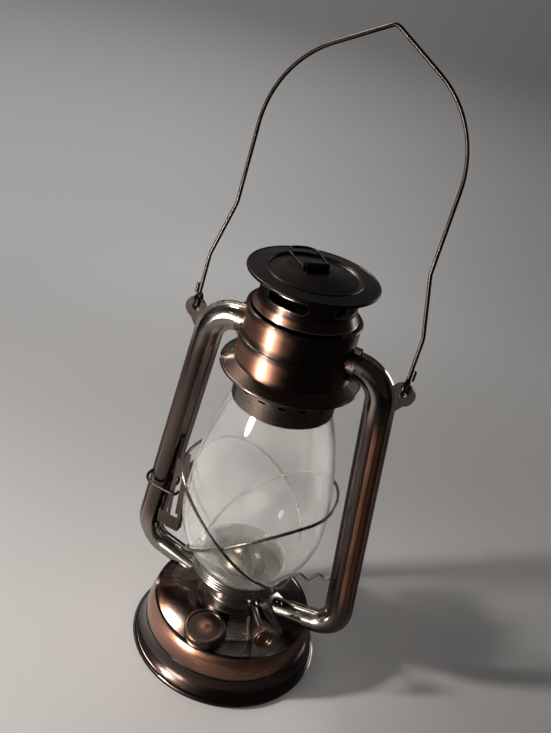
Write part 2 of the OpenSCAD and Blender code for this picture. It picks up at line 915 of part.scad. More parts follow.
module tube() {
  bore = tube_r - 0.8;
  color([0.42, 0.31, 0.24])
    difference() {
      union() {
        tube_straights(tier_top_r - 4)
          tube_section(tube_step);
        tube_bends()
          tube_section(0);
        tube_straight(seam_stop, arm_stop, 1, 0)
          circle(r = tube_r - tube_step);
      }
      tube_straights(tier_top_r - 6)
        circle(r = bore + tube_step);
      tube_bends()
        circle(r = bore);
      tube_straight(seam_stop, arm_stop, 1, 2)
        circle(r = bore);
      hood_outline(seat_gap);
      rotate_extrude()
        socket_outline(0, 0.7 * seat_gap);
    }
}

module tube_right() {
  tube();
}

module tube_left() {
  mirror([1, 0, 0])
    tube();
}

module tube_collar() {
  color([0.3, 0.24, 0.2])
    difference() {
      translate([tier_top_r - 5, 0, tube_z])
        rotate([0, 90, 0])
          linear_extrude(height = bend_x - tier_top_r + 4.6)
            tube_section(tube_step + seat_gap + 0.9);
      translate([tier_top_r - 6, 0, tube_z])
        rotate([0, 90, 0])
          linear_extrude(height = bend_x - tier_top_r + 8)
            tube_section(tube_step + seat_gap);
      hood_outline(2 * seat_gap);
    }
}

module tube_collar_right() {
  tube_collar();
}

module tube_collar_left() {
  mirror([1, 0, 0])
    tube_collar();
}

// Ears and bail

ear_z = bend_mid[1] + 11.3;
pivot_z = ear_z + (ear_hole_r + ear_r) / 2;
eye_r = pivot_z - ear_z;

// Sheet of a given thickness on the plane of the tubes
module ear_sheet(t) {
  translate([0, t / 2, 0])
    rotate([90, 0, 0])
      linear_extrude(height = t)
        children();
}

module ear() {
  color([0.32, 0.27, 0.23])
    difference() {
      union() {
        ear_sheet(seam_t)
          translate([ear_x, ear_z])
            circle(r = ear_r);
        ear_sheet(seam_t - 2 * wire_step)
          polygon([
            [ear_x + 0.7 * ear_r, ear_z - 0.45 * ear_r],
            [ear_x - 1.4, ear_z - 1.7 * ear_r],
            [ear_x - ear_r, ear_z - ear_r],
            [ear_x - ear_r, ear_z]
          ]);
      }
      ear_sheet(2 * seam_t)
        translate([ear_x, ear_z])
          circle(r = ear_hole_r);
      ear_sheet(2 * seam_t)
        translate(bend_mid)
          circle(r = bend_r + seam_w / 2 + seat_gap);
      ear_sheet(2 * seam_t)
        translate(bend_out)
          rotate(tube_lean)
            translate([-seam_w, -2 * bend_r])
              square([1.5 * seam_w + tube_step + seat_gap, 2 * bend_r + tube_lap + seat_gap]);
    }
}

module ear_right() {
  ear();
}

module ear_left() {
  mirror([1, 0, 0])
    ear();
}

module bail() {
  side_x = ear_x - bail_jog;
  jog_z = bail_foot + bail_jog / tan(jog_slope);
  peak = bail_h + 4 * (1 / cos(peak_slope) - 1);
  top_z = peak - side_x * tan(peak_slope);
  p = [
    [ear_x, eye_r],
    [ear_x, bail_foot],
    [side_x, jog_z],
    [side_x, top_z],
    [0, peak],
    [-side_x, top_z],
    [-side_x, jog_z],
    [-ear_x, bail_foot],
    [-ear_x, eye_r]
  ];
  color([0.22, 0.18, 0.15])
    translate([0, 0, pivot_z])
      rotate([90 - bail_lean, 0, 0]) {
        plane_wire(p, [0, 14, 14, side_x, 4, side_x, 14, 14, 0], bail_wire_r);
        for (side = [-1, 1])
          translate([side * ear_x, 0, 0]) {
            rotate([0, 90, 0])
              rotate_extrude()
                translate([eye_r, 0])
                  circle(r = bail_wire_r);
            translate([side * 1.85 * bail_wire_r, eye_r + 0.3, 0])
              rotate([-90, 0, 0])
                cylinder(r = bail_wire_r, h = 5);
          }
      }
}

// Hood

module hood_shell() {
  // The ledge reaches from the narrower tier to the wider one
  ledge_in = min(tier_low_r, tier_top_r) - sheet;
  ledge_out = max(tier_low_r, tier_top_r);
  color([0.62, 0.4, 0.26])
    difference() {
      rotate_extrude() {
        translate([tier_low_r - sheet, tier_z])
          square([sheet, tier_low_h]);
        translate([ledge_in, tier_step_z - sheet])
          square([ledge_out - ledge_in, sheet]);
        translate([tier_top_r - sheet, tier_step_z - sheet])
          square([sheet, tier_top_h + sheet - 0.7]);
        translate([tier_top_r - 1.6, hood_top - 1.5])
          square([1.6, sheet]);
        translate([tier_top_r - 0.3, hood_top - 0.9])
          circle(r = 0.9);
      }
      translate([-60, 0, tube_z])
        rotate([0, 90, 0])
          cylinder(r = tube_r - 0.8, h = 120);
    }
}

module hood_brim() {
  inner = collar_r + 0.7;
  color([0.26, 0.22, 0.19])
    rotate_extrude() {
      polygon([
        [inner, tier_z - seat_gap - sheet],
        [tier_low_r + 0.4, tier_z - seat_gap - sheet],
        [brim_r - 0.9, brim_z],
        [brim_r - 0.5, brim_z + 0.9],
        [tier_low_r + 0.9, tier_z + 1],
        [tier_low_r + seat_gap, tier_z + 1.5],
        [tier_low_r + seat_gap, tier_z - seat_gap],
        [inner, tier_z - seat_gap]
      ]);
      translate([brim_r - 0.9, brim_z + 0.5])
        circle(r = 0.9);
    }
}

// Chimney

module chimney_collar() {
  wall = 0.7;
  color([0.36, 0.33, 0.3])
    difference() {
      rotate_extrude() {
        translate([collar_r - wall, collar_z])
          square([wall, collar_h]);
        translate([collar_r - 0.35, collar_z + 0.35])
          circle(r = 0.35);
        translate([draught_r - 0.8, shelf_z])
          square([collar_r - draught_r + 0.5, wall]);
      }
      for (i = [0 : 15])
        rotate([0, 0, -93 + i * 22.5])
          translate([collar_r - 3, -2, shelf_z + 6.8])
            cube([6, 4, 1.4]);
    }
}

module chimney_tube() {
  low = shelf_z + 0.7 + seat_gap;
  color([0.3, 0.28, 0.26])
    ring(draught_r, draught_r - 0.7, low, neck_z - 1 - seat_gap - low);
}

module chimney_neck() {
  low_r = tier_top_r - 2.1;
  color([0.5, 0.42, 0.36])
    difference() {
      rotate_extrude()
        polygon([
          [low_r, flare_z],
          [neck_r, neck_z],
          [neck_r, cap_z - seat_gap],
          [neck_r - 0.8, cap_z - seat_gap],
          [neck_r - 0.8, neck_z - 0.2],
          [draught_r - 0.8, neck_z - 0.2],
          [draught_r - 0.8, neck_z - 1],
          [neck_r - 0.6, neck_z - 1],
          [low_r - 0.9, flare_z]
        ]);
      for (i = [0 : 3])
        rotate([0, 0, -98 + i * 90]) {
          translate([0, 0, neck_z + 2.6])
            rotate([0, 0, -vent_span / 2 + 5])
              rotate_extrude(angle = vent_span - 10)
                translate([neck_r - 3, 0])
                  square([6, vent_h]);
          for (end = [-1, 1])
            rotate([0, 0, end * (vent_span / 2 - 6)])
              translate([neck_r - 3, 0, neck_z + 2.6 + vent_h / 2])
                rotate([0, 90, 0])
                  cylinder(r = vent_h / 2 - 0.05, h = 6);
        }
    }
}

module cap_disc() {
  ridge = neck_r - 0.9;
  flat_r = 8.4;
  color([0.2, 0.16, 0.14])
    rotate_extrude() {
      polygon([
        [ridge - 1.2, cap_z],
        [ridge + 1.4, cap_z],
        [cap_r - 0.8, cap_z - 0.3],
        [cap_r - 0.8, cap_z + 0.9],
        [ridge + 0.6, cap_z + 1.6],
        [ridge - 0.6, cap_z + 1.6],
        [ridge - 1.6, cap_z + 0.9],
        [flat_r, cap_top],
        [0, cap_top],
        [0, cap_top - 0.9],
        [flat_r, cap_top - 0.9]
      ]);
      translate([cap_r - 0.9, cap_z + 0.3])
        circle(r = 0.9);
      translate([ridge, cap_z + 1.4])
        circle(r = 0.7);
    }
}

ring_z = cap_top + seat_gap + 1.5;

module cap_strap() {
  bore = ring_wire_r + shaft_play;
  color([0.16, 0.13, 0.11])
    translate([0, 0, cap_top + seat_gap])
      rotate([0, 0, strap_az])
        rotate([90, 0, 90])
          linear_extrude(height = strap_l, center = true)
            difference() {
              union() {
                translate([-3.4, 0])
                  square([6.8, 0.9]);
                translate([-2.2, 0])
                  square([4.4, 1.5]);
                translate([0, 1.5])
                  circle(r = 2.2);
              }
              translate([0, 1.5])
                circle(r = bore);
              translate([-bore, -3])
                square([2 * bore, 4.5]);
              translate([-4, -3])
                square([8, 3]);
            }
}

module lift_ring() {
  foot = strap_l / 2 + 1.4;
  p = [
    [-foot, 0],
    [foot, 0],
    [ring_w / 2, ring_l],
    [-ring_w / 2, ring_l]
  ];
  color([0.25, 0.22, 0.2])
    translate([0, 0, ring_z])
      rotate([0, 0, strap_az])
        plane_wire(p, [1.2, 1.2, 0.38 * ring_w, 0.38 * ring_w], ring_wire_r, true);
}

font_shell();
font_top();
font_bottom();
filler_neck();
filler_gasket();
filler_cap();
burner_collar();
burner_body();
burner_cone();
wick_tube();
wick();
wick_wheel();
wick_spindle();
wick_knob();
spindle_bush();
globe_plate();
globe();
guard_hoop_outer();
guard_hoop_inner();
lift_bracket();
latch_wire();
guide_wire();
tube_left();
tube_right();
tube_collar_left();
tube_collar_right();
ear_left();
ear_right();
hood_shell();
hood_brim();
chimney_collar();
chimney_tube();
chimney_neck();
cap_disc();
cap_strap();
lift_ring();
bail();
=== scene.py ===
"""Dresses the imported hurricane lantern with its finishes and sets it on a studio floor."""

import math

import bmesh
import bpy
from bpy.props import FloatProperty, FloatVectorProperty, IntProperty, PointerProperty
from mathutils import Matrix, Vector, noise


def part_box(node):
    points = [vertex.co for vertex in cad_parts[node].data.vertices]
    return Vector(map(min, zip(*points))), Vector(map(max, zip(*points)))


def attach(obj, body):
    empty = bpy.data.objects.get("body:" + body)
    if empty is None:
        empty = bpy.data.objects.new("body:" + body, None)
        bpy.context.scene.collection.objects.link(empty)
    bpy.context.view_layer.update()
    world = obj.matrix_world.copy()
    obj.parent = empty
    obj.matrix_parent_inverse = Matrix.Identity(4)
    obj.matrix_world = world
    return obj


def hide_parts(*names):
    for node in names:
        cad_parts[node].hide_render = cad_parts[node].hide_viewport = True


bl_info = {
    "name": "Hurricane Lantern",
    "version": (1, 0, 0),
    "blender": (4, 5, 0),
    "location": "View3D > Sidebar > Lantern",
    "description": "Finishes, wick and studio for a hurricane lantern",
    "category": "Object",
}

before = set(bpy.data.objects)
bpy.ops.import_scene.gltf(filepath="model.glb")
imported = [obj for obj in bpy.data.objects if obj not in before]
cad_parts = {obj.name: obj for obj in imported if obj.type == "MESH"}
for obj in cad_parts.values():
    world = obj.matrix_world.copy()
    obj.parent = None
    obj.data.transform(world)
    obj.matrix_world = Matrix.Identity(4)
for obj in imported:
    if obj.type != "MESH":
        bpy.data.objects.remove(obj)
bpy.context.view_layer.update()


# Settings

def colour(name, text, value):
    return FloatVectorProperty(name=name, description=text, subtype="COLOR", size=3, min=0, max=1, default=value)


def length(name, text, value):
    return FloatProperty(name=name, description=text, unit="LENGTH", subtype="DISTANCE", min=0, default=value)


def point(name, text, value):
    return FloatVectorProperty(name=name, description=text, unit="LENGTH", subtype="TRANSLATION", default=value)


def turn(name, text, degrees):
    return FloatProperty(name=name, description=text, unit="ROTATION", subtype="ANGLE",
                         default=math.radians(degrees))


def watts(name, text, value):
    return FloatProperty(name=name, description=text, unit="POWER", subtype="POWER", min=0, default=value)


def amount(name, text, value):
    return FloatProperty(name=name, description=text, min=0, default=value)


class LanternFinishes(bpy.types.PropertyGroup):
    """Colours of the metal, glass and cotton."""
    copper: colour("Copper", "Rubbed copper on the band and hood", (0.47, 0.222, 0.145))
    umber: colour("Umber", "Browned copper towards the edges", (0.062, 0.040, 0.032))
    bronze: colour("Bronze", "Antique bronze of the brim, collar and sleeves", (0.155, 0.118, 0.100))
    black: colour("Black", "Blackened sheet of the smoke cap", (0.022, 0.017, 0.015))
    grey: colour("Grey", "Plain grey sheet round the burner", (0.33, 0.305, 0.275))
    wire: colour("Wire", "Drawn wire", (0.15, 0.132, 0.118))
    bright: colour("Bright", "Metal laid bare on worn edges", (0.56, 0.49, 0.43))
    brass: colour("Brass", "Dull brass of the burner", (0.21, 0.175, 0.13))
    glass: colour("Glass", "Tint of the globe", (1.0, 1.0, 1.0))
    dust: colour("Dust", "Thin film on the globe", (0.86, 0.84, 0.81))
    passed: colour("Passed", "Light that the globe lets through", (0.93, 0.94, 0.935))
    cotton: colour("Cotton", "Clean wick", (0.74, 0.69, 0.58))
    char: colour("Char", "Burnt end of the wick", (0.035, 0.028, 0.024))
    rubber: colour("Rubber", "Filler seal", (0.02, 0.02, 0.021))


class LanternSizes(bpy.types.PropertyGroup):
    """Sizes of the surface detail and the wick."""
    edge: length("Edge wear", "Width of the worn edges", 0.0007)
    relief: length("Relief", "Depth of the brush lines", 0.00006)
    brush: amount("Brush", "Brush lines across a metre of sheet", 900)
    mottle: amount("Mottle", "Tarnish patches across a metre", 34)
    speck: amount("Speck", "Tarnish specks across a metre", 420)
    nick: amount("Nick", "Bare nicks along a metre of edge", 160)
    crimps: IntProperty(name="Crimps", description="Crimps round the top seam of the hood", min=0, default=22)
    wick_rows: IntProperty(name="Wick rows", description="Woven rows along the wick", min=20, default=72)
    wick_ends: IntProperty(name="Wick ends", description="Warp threads across the wick", min=6, default=14)
    thread: length("Thread", "How far the woven threads stand proud", 0.00012)


class LanternStudio(bpy.types.PropertyGroup):
    """Camera, light and floor."""
    eye: point("Eye", "Place of the camera", (0.12435, -0.37682, 0.41010))
    heading: turn("Heading", "Turn of the view about the lantern", 19.412)
    pitch: turn("Pitch", "Downward tilt of the camera", 28.67)
    roll: turn("Roll", "Sideways tilt of the camera", 13.74)
    lens: FloatProperty(name="Lens", description="Focal length on a 36 mm sensor", unit="CAMERA", min=10,
                        default=42.88)
    floor: colour("Floor", "Pale cloth under and behind the lantern", (0.80, 0.765, 0.745))
    # Painted shade: the far floor takes this dark colour only in the metal's reflections.
    mirrored: colour("Mirrored", "Far floor as the metal mirrors it", (0.03, 0.027, 0.025))
    tint: colour("Tint", "Tint of the floor's and room's glow", (1.0, 0.985, 0.965))
    reach: length("Reach", "Radius of the floor", 8.0)
    glow: amount("Glow", "Paleness of the floor as seen on its left side", 0.09)
    ground: amount("Ground", "Paleness added behind the lantern", 0.26)
    haze: amount("Haze", "Share of that paleness past the floor's edge", 0.38)
    # Floor and backdrop are painted darker towards the right: painted shade.
    painted_right_shade: amount("Dusk", "Share of the glow that the right side loses", 0.62)
    room: amount("Room", "Level of the light all round", 0.30)
    aim: point("Aim", "Point that the lamps face", (0, 0, 0.15))
    spread: turn("Spread", "Cone of the lamps", 76)
    key: watts("Key", "Power of the main lamp", 1.5)
    key_place: point("Key place", "Place of the main lamp", (-0.30, -0.47, 0.22))
    key_size: length("Key size", "Width of the main lamp", 0.11)
    key_shade: colour("Key shade", "Colour of the main lamp", (1.0, 0.955, 0.90))
    spill: watts("Spill", "Power of the floor's lamp", 1.3)
    spill_place: point("Spill place", "Place of the floor's lamp", (-0.58, -0.49, 0.36))
    spill_size: length("Spill size", "Width of the floor's lamp", 0.07)
    spill_shade: colour("Spill shade", "Colour of the floor's lamp", (1.0, 0.965, 0.93))
    top: watts("Top", "Power of the small lamp above", 0.6)
    top_place: point("Top place", "Place of the small lamp above", (-0.40, 0.21, 0.72))
    top_size: length("Top size", "Width of the small lamp above", 0.16)
    top_shade: colour("Top shade", "Colour of the small lamp above", (1.0, 0.95, 0.89))
    rim: watts("Rim", "Power of the weak lamp behind", 0.5)
    rim_place: point("Rim place", "Place of the weak lamp behind", (0.52, 0.98, 0.36))
    rim_size: length("Rim size", "Width of the weak lamp behind", 0.45)
    rim_shade: colour("Rim shade", "Colour of the weak lamp behind", (0.97, 0.98, 1.0))
    low: watts("Low", "Power of the weak lamp near the floor", 0.5)
    low_place: point("Low place", "Place of the weak lamp near the floor", (-0.25, -0.56, 0.07))
    low_size: length("Low size", "Width of the weak lamp near the floor", 0.26)
    low_shade: colour("Low shade", "Colour of the weak lamp near the floor", (1.0, 0.95, 0.89))


# Shader maths

class Wire:
    """A value on its way through a node tree, which takes part in sums."""

    def __init__(self, tree, socket):
        self.tree = tree
        self.socket = socket

    def sum(self, operation, first, second):
        return self.tree.node("ShaderNodeMath", {"operation": operation}, {0: first, 1: second})

    def __add__(self, other):
        return self.sum("ADD", self, other)

    __radd__ = __add__

    def __sub__(self, other):
        return self.sum("SUBTRACT", self, other)

    def __rsub__(self, other):
        return self.sum("SUBTRACT", other, self)

    def __mul__(self, other):
        return self.sum("MULTIPLY", self, other)

    __rmul__ = __mul__

    def __truediv__(self, other):
        return self.sum("DIVIDE", self, other)

    def __pow__(self, other):
        return self.sum("POWER", self, other)

    def most(self, other):
        return self.sum("MAXIMUM", self, other)

    def size(self):
        return self.sum("ABSOLUTE", self, 0)

    def angle(self, other):
        return self.sum("ARCTAN2", self, other)

    def wave(self):
        return self.sum("SINE", self, 0)


class Finish:
    """A material, or the room's world, under construction."""

    def __init__(self, owner, coordinate="Object"):
        self.owner = owner
        owner.use_nodes = True
        self.tree = owner.node_tree
        self.tree.nodes.clear()
        self.place = self.node("ShaderNodeTexCoord", output=coordinate)
        parts = self.node("ShaderNodeSeparateXYZ", {}, {0: self.place}, output=None)
        self.x, self.y, self.z = (Wire(self, parts.outputs[i]) for i in range(3))

    def node(self, kind, settings=None, sockets=None, output=0):
        """Adds a node, sets it up, feeds its sockets and hands back one output, or the node for None."""
        made = self.tree.nodes.new(kind)
        for key, value in (settings or {}).items():
            setattr(made, key, value)
        for key, value in (sockets or {}).items():
            if isinstance(value, Wire):
                self.tree.links.new(value.socket, made.inputs[key])
            else:
                made.inputs[key].default_value = value
        return made if output is None else Wire(self, made.outputs[output])

    def rises(self, value, low, high):
        """0 below low, 1 above high, smooth between."""
        return self.node("ShaderNodeMapRange", {"interpolation_type": "SMOOTHSTEP"},
                         {"Value": value, "From Min": low, "From Max": high})

    def band(self, value, low, high, soft):
        """1 between low and high, fading over soft."""
        return self.rises(value, low - soft, low + soft) * (1 - self.rises(value, high - soft, high + soft))

    def vector(self, x, y, z):
        return self.node("ShaderNodeCombineXYZ", {}, {0: x, 1: y, 2: z})

    def cloud(self, scale, detail=3, place=None):
        """Fractal noise from 0 to 1."""
        return self.node("ShaderNodeTexNoise", {},
                         {"Vector": place or self.place, "Scale": scale, "Detail": detail}, output="Fac")

    def mix(self, factor, first, second):
        """Blend of two colours, through the node's colour sockets 6 and 7."""
        return self.node("ShaderNodeMix", {"data_type": "RGBA"},
                         {"Factor": factor, 6: paint(first), 7: paint(second)}, output=2)

    def rays(self, *kinds):
        """1 for the named kinds of ray, 0 for the others."""
        path = self.node("ShaderNodeLightPath", output=None)
        return [Wire(self, path.outputs[kind]) for kind in kinds]

    def radius(self):
        """Distance from the lantern's axis."""
        return (self.x * self.x + self.y * self.y) ** 0.5

    def edges(self, width):
        """1 on edges and corners, 0 on open sheet."""
        soft = self.node("ShaderNodeBevel", {"samples": 4}, {"Radius": width})
        hard = self.node("ShaderNodeNewGeometry", output="Normal")
        along = self.node("ShaderNodeVectorMath", {"operation": "DOT_PRODUCT"}, {0: soft, 1: hard}, output="Value")
        flat, sharp = 0.02, 0.3
        return self.rises(1 - along, flat, sharp)

    def bump(self, height, strength, distance):
        return self.node("ShaderNodeBump", {}, {"Height": height, "Strength": strength, "Distance": distance})

    def close(self, **sockets):
        """Ends in a Principled shader."""
        names = {key.replace("_", " "): paint(value) for key, value in sockets.items()}
        shader = self.node("ShaderNodeBsdfPrincipled", {}, names)
        self.node("ShaderNodeOutputMaterial", {}, {"Surface": shader}, output=None)
        return self.owner


def paint(value):
    """A colour with its alpha, or any other value unchanged."""
    try:
        parts = tuple(value)
    except TypeError:
        return value
    return (*parts, 1.0) if len(parts) == 3 else parts


def toned(shade, share):
    """A colour made darker or lighter."""
    return [part * share for part in shade]


# Finishes

def round_brush(f, lines):
    """Fine lines that run round the axis."""
    reach = f.radius()
    drift = 5
    place = f.vector(f.x / reach * drift, f.y / reach * drift, (f.z + reach) * lines)
    return f.cloud(1, detail=2, place=place)


def long_brush(f, lines):
    """Fine lines that run up a tube."""
    thin = lines * 0.7
    drift = 14
    return f.cloud(1, detail=2, place=f.vector(f.x * thin, f.y * thin, f.z * drift))


# Amounts that the antique finishes share

RUB_EVEN, RUB_PATCHY, RUB_BRUSHED = 0.45, 0.9, 0.2
RUB_RANGE = 0.08, 0.85
NICK_START, NICK_FADE = 0.6, 0.25
SPOT_RANGE, SPOT_SHARE, SPOT_TONE = (0.66, 0.74), 0.5, 0.55
DENT_DEPTH, DENT_SHADE_SHARE, DENT_SHADE_TONE = 5, 0.75, 0.4
LINE_HEIGHT, SPECK_HEIGHT, BUMP_STRENGTH = 0.7, 0.3, 0.2
ROUGH_PATCHES, ROUGH_LINES, ROUGH_SPOTS, SMOOTH_WORN = 0.16, 0.12, 0.1, 0.06


def antique(name, dark, warm, rubbed, rough, brushing=round_brush, wear=0.5, coat=0.5, film=0.13,
            stretch=0.0, grain=0.25, lip=1.0, pressed=None):
    """Lacquered antique sheet: dark wash, rubbed through to the warm metal where the maker polished it.

    rubbed and pressed are masks, given as functions of the finish, and warm and rough may be such functions. On
    the hood and vent neck the rubbed mask also paints light on the lit side.
    """
    finishes = bpy.context.scene.lantern_finishes
    sizes = bpy.context.scene.lantern_sizes
    f = Finish(bpy.data.materials.new(name))
    lines = brushing(f, sizes.brush)
    patches = f.cloud(sizes.mottle, detail=4)
    specks = f.cloud(sizes.speck, detail=2)
    share = rubbed(f) * (RUB_EVEN + RUB_PATCHY * patches) + (lines - 0.5) * RUB_BRUSHED
    shade = f.mix(f.rises(share, *RUB_RANGE), dark, warm(f) if callable(warm) else warm)
    nick = NICK_START - NICK_FADE * lip
    worn = f.edges(sizes.edge * lip) * f.rises(f.cloud(sizes.nick), nick, nick + NICK_FADE)
    shade = f.mix(worn * wear, shade, finishes.bright)
    spots = f.rises(specks, *SPOT_RANGE) * SPOT_SHARE
    shade = f.mix(spots, shade, toned(dark, SPOT_TONE))
    height = lines * LINE_HEIGHT + specks * SPECK_HEIGHT
    if pressed:
        dents = pressed(f)
        # Dents are darkened as well as pressed in: painted shade in their hollows.
        shade = f.mix(dents * DENT_SHADE_SHARE, shade, toned(dark, DENT_SHADE_TONE))
        height = height - dents * DENT_DEPTH
    polish = rough(f) if callable(rough) else rough
    polish = polish + ROUGH_PATCHES * (patches - 0.5) + ROUGH_LINES * (lines - 0.5)
    polish = polish + ROUGH_SPOTS * spots - SMOOTH_WORN * worn
    return f.close(Base_Color=shade, Roughness=polish, Metallic=1.0,
                   Anisotropic=stretch, Anisotropic_Rotation=grain, Coat_Weight=coat, Coat_Roughness=film,
                   Normal=f.bump(height, BUMP_STRENGTH, sizes.relief))


def everywhere(share):
    """The same rubbing all over."""
    return lambda f: f.z * 0 + share


def painted_lit_sides(f):
    """Painted light and shade: 1 on two opposite quarters round the axis, one of them the lit front-left, near 0
    between.
    """
    turned, ragged, least = 0.454, 0.8, 0.12
    sides = (f.y.angle(f.x) * 2 - turned).wave() + (f.cloud(30) - 0.5) * ragged
    return least + (1 - least) * f.rises(sides, -0.35, 0.25)


# Pieces and lamps

def dress(material, *nodes):
    """Gives CAD nodes a finish."""
    for node in nodes:
        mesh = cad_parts[node].data
        mesh.materials.clear()
        mesh.materials.append(material)


def solid(name, mesh):
    """Object made from a bmesh, smooth shaded."""
    data = bpy.data.meshes.new(name)
    for face in mesh.faces:
        face.smooth = True
    mesh.to_mesh(data)
    mesh.free()
    made = bpy.data.objects.new(name, data)
    bpy.context.scene.collection.objects.link(made)
    return made


def piece(name, mesh, body):
    """Object that rides on a CAD body."""
    made = solid(name, mesh)
    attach(made, body)
    return made


def lamp(studio, name, matt=True, shine=True, spared=None):
    """Round soft lamp with the studio's settings of that name, facing the lantern.

    It lights matt surfaces, shiny ones or both, but not the spared CAD node.
    """
    place, size, shade = (getattr(studio, f"{name}_{part}") for part in ("place", "size", "shade"))
    light = bpy.data.lights.new(name, "AREA")
    light.shape = "DISK"
    light.size = size
    light.energy = getattr(studio, name)
    light.color = shade
    light.spread = studio.spread
    made = bpy.data.objects.new(name, light)
    made.visible_camera = False
    made.visible_diffuse = matt
    made.visible_glossy = shine
    made.visible_transmission = shine
    if spared:
        unlit = bpy.data.collections.new(name)
        unlit.objects.link(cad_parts[spared])
        unlit.collection_objects[0].light_linking.link_state = "EXCLUDE"
        made.light_linking.receiver_collection = unlit
    facing = (Vector(studio.aim) - Vector(place)).to_track_quat("-Z", "Y")
    made.matrix_world = Matrix.Translation(place) @ facing.to_matrix().to_4x4()
    bpy.context.scene.collection.objects.link(made)


# Operators

class LANTERN_OT_font(bpy.types.Operator):
    """Finish the fuel tank: copper band over a dark skirt, mottled bronze top, grey floor"""
    bl_idname = "lantern.font"
    bl_label = "Font"

    def execute(self, context):
        finishes = context.scene.lantern_finishes
        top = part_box("font_shell")[1].z
        skirt = top * 0.2, top * 0.42
        crease = top * 0.46, top * 0.60
        seam = top * 0.94, top * 0.985
        shoulder = 0.040, 0.046

        def belly(f):
            return f.rises(f.z, *crease) * (1 - f.rises(f.z, *seam))

        def band(f):
            return belly(f) * 0.66 + f.band(f.z, *skirt, soft=top * 0.06) * 0.2

        def polish(f):
            return 0.22 + 0.03 * belly(f)

        def dome(f):
            clouded = f.rises(f.cloud(24, detail=2), 0.42, 0.66)
            return clouded * 0.55 + f.rises(f.radius(), *shoulder) * 0.2 + 0.16

        def wash(f):
            greyed = f.rises(f.cloud(17, detail=2), 0.4, 0.58)
            return f.mix(greyed, finishes.copper, finishes.grey)

        dress(antique("rubbed copper band", toned(finishes.umber, 0.6), finishes.copper, band, rough=polish,
                      coat=0.8, film=0.1, stretch=0.35, grain=0.0),
              "font_shell")
        dress(antique("mottled bronze top", finishes.umber, wash, dome, rough=0.18), "font_top")
        dress(antique("tank floor", finishes.black, finishes.grey, everywhere(0.4), rough=0.45), "font_bottom")
        return {"FINISHED"}


class LANTERN_OT_filler(bpy.types.Operator):
    """Finish the screw cap, its spout and the seal"""
    bl_idname = "lantern.filler"
    bl_label = "Filler"

    def execute(self, context):
        finishes = context.scene.lantern_finishes
        low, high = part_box("filler_cap")
        centre = (low + high) / 2
        hollow = 0.0005, 0.0085
        rim = 0.0095, 0.0105

        def dish(f):
            along, across = f.x - centre.x, f.y - centre.y
            reach = (along * along + across * across) ** 0.5
            return (1 - f.rises(reach, *hollow)) * 0.5 + f.rises(reach, *rim) * 0.25

        dress(antique("dished screw cap", toned(finishes.umber, 0.6), finishes.copper, dish, rough=0.3, coat=0.3),
              "filler_cap")
        dress(antique("brass spout", finishes.umber, finishes.brass, everywhere(0.7), rough=0.36), "filler_neck")
        f = Finish(bpy.data.materials.new("seal rubber"))
        grain = f.cloud(900)
        dress(f.close(Base_Color=f.mix(grain, finishes.rubber, toned(finishes.rubber, 2)),
                      Roughness=0.62 + 0.2 * grain, Normal=f.bump(grain, 0.3, 0.00005)),
              "filler_gasket")
        return {"FINISHED"}


class LANTERN_OT_burner(bpy.types.Operator):
    """Finish the burner, its seat and the wick gear"""
    bl_idname = "lantern.burner"
    bl_label = "Burner"

    def execute(self, context):
        finishes = context.scene.lantern_finishes
        dress(antique("burner seat", finishes.umber, finishes.grey, everywhere(0.6), rough=0.26), "burner_collar")
        dress(antique("burner neck", finishes.bronze, finishes.grey, everywhere(0.6), rough=0.32, stretch=0.6),
              "burner_body")
        dress(antique("dull brass", finishes.umber, finishes.brass, everywhere(0.55), rough=0.27),
              "burner_cone", "wick_tube", "wick_wheel", "spindle_bush")
        dress(antique("spindle steel", finishes.umber, finishes.grey, everywhere(0.45), rough=0.32,
                      brushing=long_brush),
              "wick_spindle")
        dress(antique("ringed knob", finishes.umber, finishes.copper, everywhere(0.36), rough=0.32), "wick_knob")
        return {"FINISHED"}


